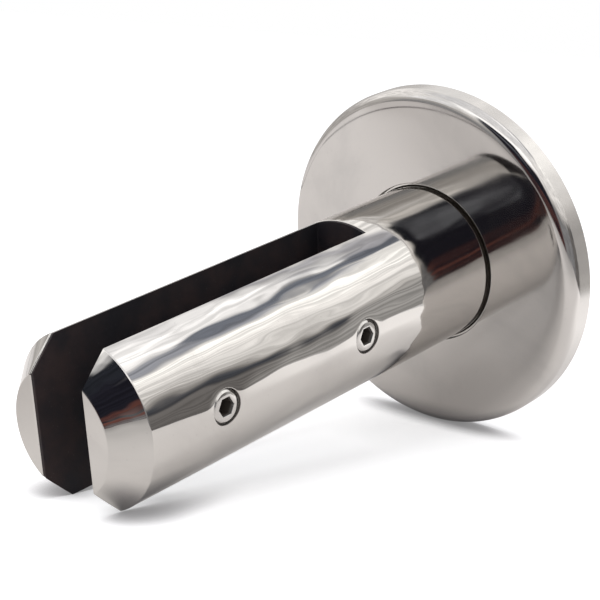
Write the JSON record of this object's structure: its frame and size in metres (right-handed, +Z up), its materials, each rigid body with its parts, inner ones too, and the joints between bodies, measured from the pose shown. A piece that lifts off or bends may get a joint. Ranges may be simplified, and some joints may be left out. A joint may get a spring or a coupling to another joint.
{
  "type": "round glass spigot",
  "caption": "Round slotted post on a round base plate that clamps the lower edge of a glass panel between its jaws, with a loose cover over the plate.",
  "frame": {"origin": "centre of the base plate's underside, on the post's axis", "axes": "+Z up the post, the glass stands in the XZ plane and its edge runs along X, the grub screws are in the jaw on the -Y side"},
  "size_m": [0.111, 0.111, 0.165],
  "materials": {
    "polished_steel": "mirror-polished stainless steel",
    "cover_steel": "mirror-polished pressed stainless steel sheet",
    "liner_rubber": "matt black rubber sheet",
    "plate_steel": "plain rolled stainless steel",
    "pad_rubber": "matt black rubber",
    "screw_steel": "bright turned stainless steel"
  },
  "bodies": {
    "spigot": {"spigot_body": "polished_steel", "slot_liner": "liner_rubber"},
    "cover": {"base_cover": "cover_steel"},
    "clamp": {"pressure_plate": "plate_steel", "pressure_pad": "pad_rubber"},
    "upper_screw": {"grub_screw_upper": "screw_steel"},
    "lower_screw": {"grub_screw_lower": "screw_steel"}
  },
  "joints": [
    {"name": "cover_slide", "type": "slide", "parent": "spigot", "child": "cover", "axis": [0, 0, 1], "range_m": [0, 0.146]},
    {"name": "clamp_travel", "type": "slide", "parent": "spigot", "child": "clamp", "axis": [0, 1, 0], "range_m": [0, 0.003]},
    {"name": "upper_screw_feed", "type": "slide", "parent": "spigot", "child": "upper_screw", "axis": [0, 1, 0], "range_m": [0, 0.003]},
    {"name": "lower_screw_feed", "type": "slide", "parent": "spigot", "child": "lower_screw", "axis": [0, 1, 0], "range_m": [0, 0.003]}
  ],
  "couplings": [
    {"joint": "upper_screw_feed", "follows": "clamp_travel", "ratio": 1},
    {"joint": "lower_screw_feed", "follows": "clamp_travel", "ratio": 1}
  ]
}
